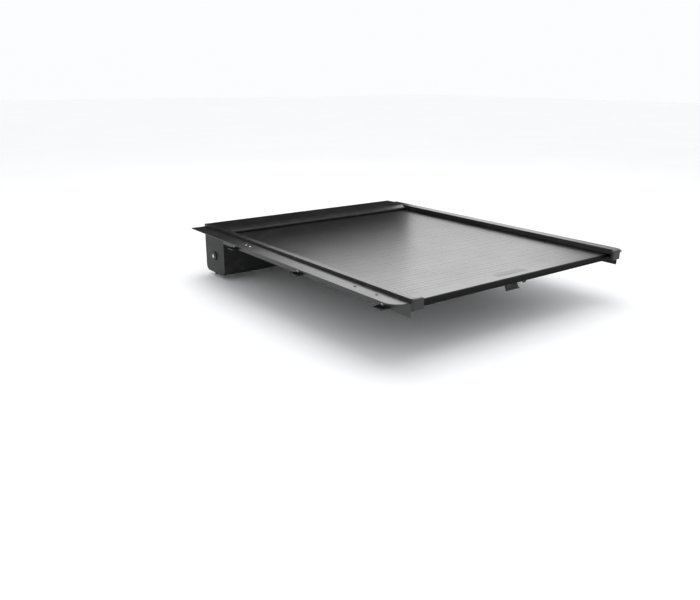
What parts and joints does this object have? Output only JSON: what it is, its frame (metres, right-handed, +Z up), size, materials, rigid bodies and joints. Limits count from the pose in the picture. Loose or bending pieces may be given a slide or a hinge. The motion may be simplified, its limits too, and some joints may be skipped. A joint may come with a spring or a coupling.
{
  "type": "tonneau cover",
  "caption": "Retractable roll-up tonneau cover of black aluminium slats in side rails, with a canister at the cab end and a latched tail bar.",
  "frame": {"origin": "centre of the canister's front face, level with the face under the rail flanges that rests on the bed sides", "axes": "+Y towards the cab, +X to the right when facing the cab, +Z up"},
  "size_m": [1.426, 1.65, 0.2723],
  "materials": {
    "satin_black_aluminium": "fine textured black powder coat, satin",
    "lid_black_aluminium": "smooth black powder coat, satin",
    "canister_black_aluminium": "matt black powder coat",
    "mill_aluminium": "mill finish",
    "black_rubber": "matt",
    "black_foam": "matt closed-cell foam tape",
    "black_nylon": "moulded, semi-matt",
    "zinc_steel": "zinc plated",
    "black_steel": "black coated",
    "spring_steel": "oiled spring wire",
    "brushed_label": "brushed, blank"
  },
  "bodies": {
    "frame": {"rail_right": "satin_black_aluminium", "rail_left": "satin_black_aluminium", "rail_end_cap_right": "black_nylon", "rail_end_cap_left": "black_nylon", "lower_glides": "black_nylon", "upper_glides": "black_nylon", "rail_wipers": "black_rubber", "flange_seals": "black_foam", "deck_screws": "black_steel", "clamp_brackets": "black_steel", "clamp_bolts": "zinc_steel", "clamp_nuts": "zinc_steel", "strikers": "zinc_steel", "canister_body": "canister_black_aluminium", "canister_end_right": "canister_black_aluminium", "canister_end_left": "canister_black_aluminium", "canister_lid": "lid_black_aluminium", "mouth_wiper": "black_rubber", "drain_spouts": "black_nylon", "axle_shaft": "zinc_steel", "torsion_spring": "spring_steel", "leader": "black_rubber"},
    "drum": {"drum_tube": "mill_aluminium", "drum_hubs": "mill_aluminium", "drum_bushes": "black_nylon"},
    "tail_bar": {"tail_bar": "satin_black_aluminium", "tail_bar_shoes": "black_nylon", "rear_seal": "black_rubber", "label_plate": "brushed_label", "latch_housing": "black_steel", "lever_pin": "zinc_steel"},
    "release_lever": {"release_lever": "black_steel"},
    "latch_bolt_right": {"latch_bolt_right": "zinc_steel"},
    "latch_bolt_left": {"latch_bolt_left": "zinc_steel"},
    "slat_01": {"slat_01": "satin_black_aluminium"},
    "slat_02": {"slat_02": "satin_black_aluminium"},
    "slat_03": {"slat_03": "satin_black_aluminium"},
    "slat_04": {"slat_04": "satin_black_aluminium"},
    "slat_05": {"slat_05": "satin_black_aluminium"},
    "slat_06": {"slat_06": "satin_black_aluminium"},
    "slat_07": {"slat_07": "satin_black_aluminium"},
    "slat_08": {"slat_08": "satin_black_aluminium"},
    "slat_09": {"slat_09": "satin_black_aluminium"},
    "slat_10": {"slat_10": "satin_black_aluminium"},
    "slat_11": {"slat_11": "satin_black_aluminium"},
    "slat_12": {"slat_12": "satin_black_aluminium"},
    "slat_13": {"slat_13": "satin_black_aluminium"},
    "slat_14": {"slat_14": "satin_black_aluminium"},
    "slat_15": {"slat_15": "satin_black_aluminium"},
    "slat_16": {"slat_16": "satin_black_aluminium"},
    "slat_17": {"slat_17": "satin_black_aluminium"},
    "slat_18": {"slat_18": "satin_black_aluminium"},
    "slat_19": {"slat_19": "satin_black_aluminium"},
    "slat_20": {"slat_20": "satin_black_aluminium"},
    "slat_21": {"slat_21": "satin_black_aluminium"},
    "slat_22": {"slat_22": "satin_black_aluminium"},
    "slat_23": {"slat_23": "satin_black_aluminium"},
    "slat_24": {"slat_24": "satin_black_aluminium"},
    "slat_25": {"slat_25": "satin_black_aluminium"},
    "slat_26": {"slat_26": "satin_black_aluminium"}
  },
  "joints": [
    {"name": "cover_travel", "type": "slide", "parent": "frame", "child": "tail_bar", "axis": [0, 1, 0], "range_m": [0, 1.31], "deforming": ["slat_01", "slat_02", "slat_03", "slat_04", "slat_05", "slat_06", "slat_07", "slat_08", "slat_09", "slat_10", "slat_11", "slat_12", "slat_13", "slat_14", "slat_15", "slat_16", "slat_17", "slat_18", "slat_19", "slat_20", "slat_21", "slat_22", "slat_23", "slat_24", "slat_25", "slat_26", "leader"]},
    {"name": "drum_turn", "type": "hinge", "parent": "frame", "child": "drum", "pos_m": [0, -0.103, -0.13641], "axis": [-1, 0, 0], "range_deg": [0, 1487]},
    {"name": "lever_pull", "type": "hinge", "parent": "tail_bar", "child": "release_lever", "pos_m": [0, -1.544, -0.0355], "axis": [-1, 0, 0], "range_deg": [0, 30], "stiffness_Nm_per_rad": 0.6, "springref_deg": -17.19},
    {"name": "right_bolt_slide", "type": "slide", "parent": "tail_bar", "child": "latch_bolt_right", "axis": [-1, 0, 0], "range_m": [0, 0.012]},
    {"name": "left_bolt_slide", "type": "slide", "parent": "tail_bar", "child": "latch_bolt_left", "axis": [1, 0, 0], "range_m": [0, 0.012]},
    {"name": "slat_01_travel", "type": "slide", "parent": "frame", "child": "slat_01", "axis": [0, 1, 0], "range_m": [0, 0.17673]},
    {"name": "slat_02_travel", "type": "slide", "parent": "frame", "child": "slat_02", "axis": [0, 1, 0], "range_m": [0, 0.22119]},
    {"name": "slat_03_travel", "type": "slide", "parent": "frame", "child": "slat_03", "axis": [0, 1, 0], "range_m": [0, 0.26565]},
    {"name": "slat_04_travel", "type": "slide", "parent": "frame", "child": "slat_04", "axis": [0, 1, 0], "range_m": [0, 0.31012]},
    {"name": "slat_05_travel", "type": "slide", "parent": "frame", "child": "slat_05", "axis": [0, 1, 0], "range_m": [0, 0.35458]},
    {"name": "slat_06_travel", "type": "slide", "parent": "frame", "child": "slat_06", "axis": [0, 1, 0], "range_m": [0, 0.39904]},
    {"name": "slat_07_travel", "type": "slide", "parent": "frame", "child": "slat_07", "axis": [0, 1, 0], "range_m": [0, 0.4435]},
    {"name": "slat_08_travel", "type": "slide", "parent": "frame", "child": "slat_08", "axis": [0, 1, 0], "range_m": [0, 0.48796]},
    {"name": "slat_09_travel", "type": "slide", "parent": "frame", "child": "slat_09", "axis": [0, 1, 0], "range_m": [0, 0.53242]},
    {"name": "slat_10_travel", "type": "slide", "parent": "frame", "child": "slat_10", "axis": [0, 1, 0], "range_m": [0, 0.57688]},
    {"name": "slat_11_travel", "type": "slide", "parent": "frame", "child": "slat_11", "axis": [0, 1, 0], "range_m": [0, 0.62135]},
    {"name": "slat_12_travel", "type": "slide", "parent": "frame", "child": "slat_12", "axis": [0, 1, 0], "range_m": [0, 0.66581]},
    {"name": "slat_13_travel", "type": "slide", "parent": "frame", "child": "slat_13", "axis": [0, 1, 0], "range_m": [0, 0.71027]},
    {"name": "slat_14_travel", "type": "slide", "parent": "frame", "child": "slat_14", "axis": [0, 1, 0], "range_m": [0, 0.75473]},
    {"name": "slat_15_travel", "type": "slide", "parent": "frame", "child": "slat_15", "axis": [0, 1, 0], "range_m": [0, 0.79919]},
    {"name": "slat_16_travel", "type": "slide", "parent": "frame", "child": "slat_16", "axis": [0, 1, 0], "range_m": [0, 0.84365]},
    {"name": "slat_17_travel", "type": "slide", "parent": "frame", "child": "slat_17", "axis": [0, 1, 0], "range_m": [0, 0.88811]},
    {"name": "slat_18_travel", "type": "slide", "parent": "frame", "child": "slat_18", "axis": [0, 1, 0], "range_m": [0, 0.93258]},
    {"name": "slat_19_travel", "type": "slide", "parent": "frame", "child": "slat_19", "axis": [0, 1, 0], "range_m": [0, 0.97704]},
    {"name": "slat_20_travel", "type": "slide", "parent": "frame", "child": "slat_20", "axis": [0, 1, 0], "range_m": [0, 1.0215]},
    {"name": "slat_21_travel", "type": "slide", "parent": "frame", "child": "slat_21", "axis": [0, 1, 0], "range_m": [0, 1.06596]},
    {"name": "slat_22_travel", "type": "slide", "parent": "frame", "child": "slat_22", "axis": [0, 1, 0], "range_m": [0, 1.11042]},
    {"name": "slat_23_travel", "type": "slide", "parent": "frame", "child": "slat_23", "axis": [0, 1, 0], "range_m": [0, 1.15488]},
    {"name": "slat_24_travel", "type": "slide", "parent": "frame", "child": "slat_24", "axis": [0, 1, 0], "range_m": [0, 1.19935]},
    {"name": "slat_25_travel", "type": "slide", "parent": "frame", "child": "slat_25", "axis": [0, 1, 0], "range_m": [0, 1.24381]},
    {"name": "slat_26_travel", "type": "slide", "parent": "frame", "child": "slat_26", "axis": [0, 1, 0], "range_m": [0, 1.28827]}
  ],
  "couplings": [
    {"joint": "drum_turn", "follows": "cover_travel", "rad_per_m": 19.801},
    {"joint": "right_bolt_slide", "follows": "lever_pull", "m_per_rad": 0.022918},
    {"joint": "left_bolt_slide", "follows": "lever_pull", "m_per_rad": 0.022918},
    {"joint": "slat_01_travel", "follows": "cover_travel", "ratio": 0.13453},
    {"joint": "slat_02_travel", "follows": "cover_travel", "ratio": 0.16847},
    {"joint": "slat_03_travel", "follows": "cover_travel", "ratio": 0.20241},
    {"joint": "slat_04_travel", "follows": "cover_travel", "ratio": 0.23635},
    {"joint": "slat_05_travel", "follows": "cover_travel", "ratio": 0.27029},
    {"joint": "slat_06_travel", "follows": "cover_travel", "ratio": 0.30423},
    {"joint": "slat_07_travel", "follows": "cover_travel", "ratio": 0.33817},
    {"joint": "slat_08_travel", "follows": "cover_travel", "ratio": 0.37211},
    {"joint": "slat_09_travel", "follows": "cover_travel", "ratio": 0.40605},
    {"joint": "slat_10_travel", "follows": "cover_travel", "ratio": 0.43999},
    {"joint": "slat_11_travel", "follows": "cover_travel", "ratio": 0.47393},
    {"joint": "slat_12_travel", "follows": "cover_travel", "ratio": 0.50787},
    {"joint": "slat_13_travel", "follows": "cover_travel", "ratio": 0.54181},
    {"joint": "slat_14_travel", "follows": "cover_travel", "ratio": 0.57575},
    {"joint": "slat_15_travel", "follows": "cover_travel", "ratio": 0.60969},
    {"joint": "slat_16_travel", "follows": "cover_travel", "ratio": 0.64363},
    {"joint": "slat_17_travel", "follows": "cover_travel", "ratio": 0.67757},
    {"joint": "slat_18_travel", "follows": "cover_travel", "ratio": 0.71151},
    {"joint": "slat_19_travel", "follows": "cover_travel", "ratio": 0.74545},
    {"joint": "slat_20_travel", "follows": "cover_travel", "ratio": 0.77939},
    {"joint": "slat_21_travel", "follows": "cover_travel", "ratio": 0.81333},
    {"joint": "slat_22_travel", "follows": "cover_travel", "ratio": 0.84727},
    {"joint": "slat_23_travel", "follows": "cover_travel", "ratio": 0.88121},
    {"joint": "slat_24_travel", "follows": "cover_travel", "ratio": 0.91515},
    {"joint": "slat_25_travel", "follows": "cover_travel", "ratio": 0.94909},
    {"joint": "slat_26_travel", "follows": "cover_travel", "ratio": 0.98303}
  ]
}
